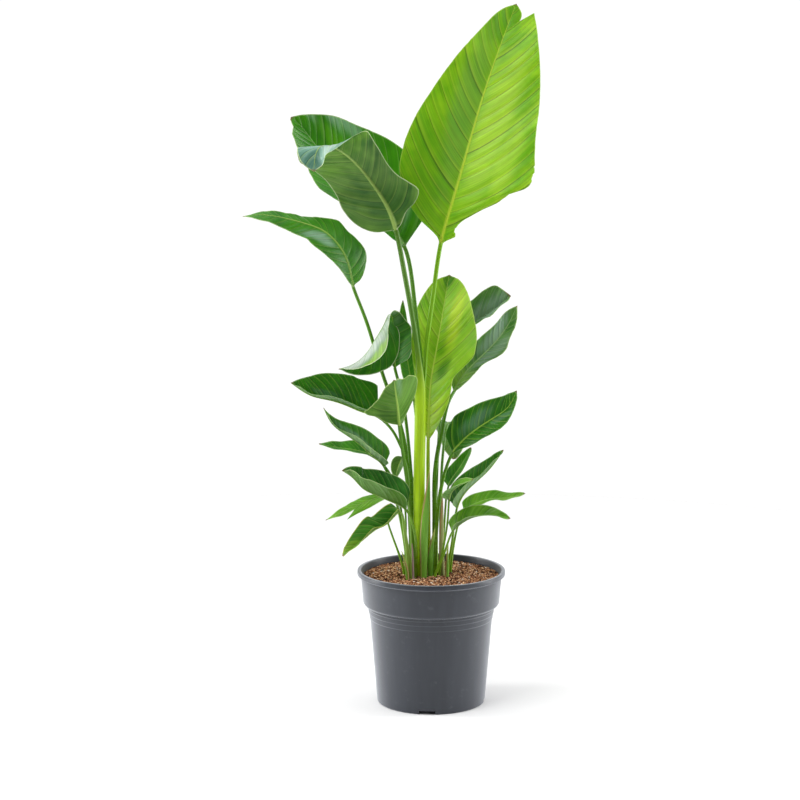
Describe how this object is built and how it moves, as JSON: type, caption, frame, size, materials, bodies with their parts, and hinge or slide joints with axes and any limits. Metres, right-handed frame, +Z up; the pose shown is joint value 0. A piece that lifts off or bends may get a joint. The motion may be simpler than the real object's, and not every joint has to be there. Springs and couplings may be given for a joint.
{
  "type": "potted bird of paradise plant",
  "caption": "Potted bird of paradise: a clump of paddle-shaped leaves on long stalks, standing in soil in a round grower pot. A house plant for a floor or a planter.",
  "frame": {"origin": "centre of the pot's underside, on the surface it stands on", "axes": "+Z up along the pot's axis, +X to the picture's right, -Y to the front"},
  "size_m": [0.4703, 0.3162, 1.1249],
  "materials": {
    "grey_plastic": "moulded slate grey, fine matte skin",
    "bark_soil": "loose bark and coir chips, rough",
    "leaf_bright": "young leaf, waxy satin",
    "leaf_grey": "leaf underside with a pale bloom, satin",
    "leaf_dark": "old leaf, waxy satin to gloss",
    "leaf_light": "pale thin leaf, satin",
    "leaf_yellow": "ageing leaf with a yellow margin, satin",
    "leaf_mid": "leaf, waxy satin",
    "leaf_sheath_pale": "pale green leaf sheath, matte",
    "leaf_sheath_dry": "dried tan leaf sheath, matte",
    "leaf_sheath_purple": "dried purple-brown leaf sheath, matte"
  },
  "bodies": {
    "root": {"pot": "grey_plastic", "soil": "bark_soil", "leaf_crown": "leaf_bright", "leaf_middle": "leaf_bright", "leaf_front_upper": "leaf_grey", "leaf_tent": "leaf_grey", "leaf_left_broad": "leaf_grey", "leaf_back_upper": "leaf_dark", "leaf_right_mid": "leaf_dark", "leaf_left_behind": "leaf_dark", "leaf_right_behind": "leaf_dark", "leaf_low_left_a": "leaf_light", "leaf_low_left_back": "leaf_light", "leaf_right_c": "leaf_light", "leaf_low_right_a": "leaf_light", "leaf_low_left_b": "leaf_yellow", "leaf_far_left": "leaf_mid", "leaf_right_back": "leaf_mid", "leaf_right_high": "leaf_mid", "leaf_tent_back": "leaf_mid", "leaf_left_long": "leaf_mid", "leaf_left_a": "leaf_mid", "leaf_left_b": "leaf_mid", "leaf_left_c": "leaf_mid", "leaf_right_a": "leaf_mid", "leaf_right_b": "leaf_mid", "leaf_low_right_b": "leaf_mid", "sheath_tall": "leaf_sheath_pale", "sheath_green": "leaf_sheath_pale", "sheath_left": "leaf_sheath_pale", "sheath_right": "leaf_sheath_pale", "sheath_tan": "leaf_sheath_dry", "sheath_dry": "leaf_sheath_purple"}
  },
  "joints": []
}
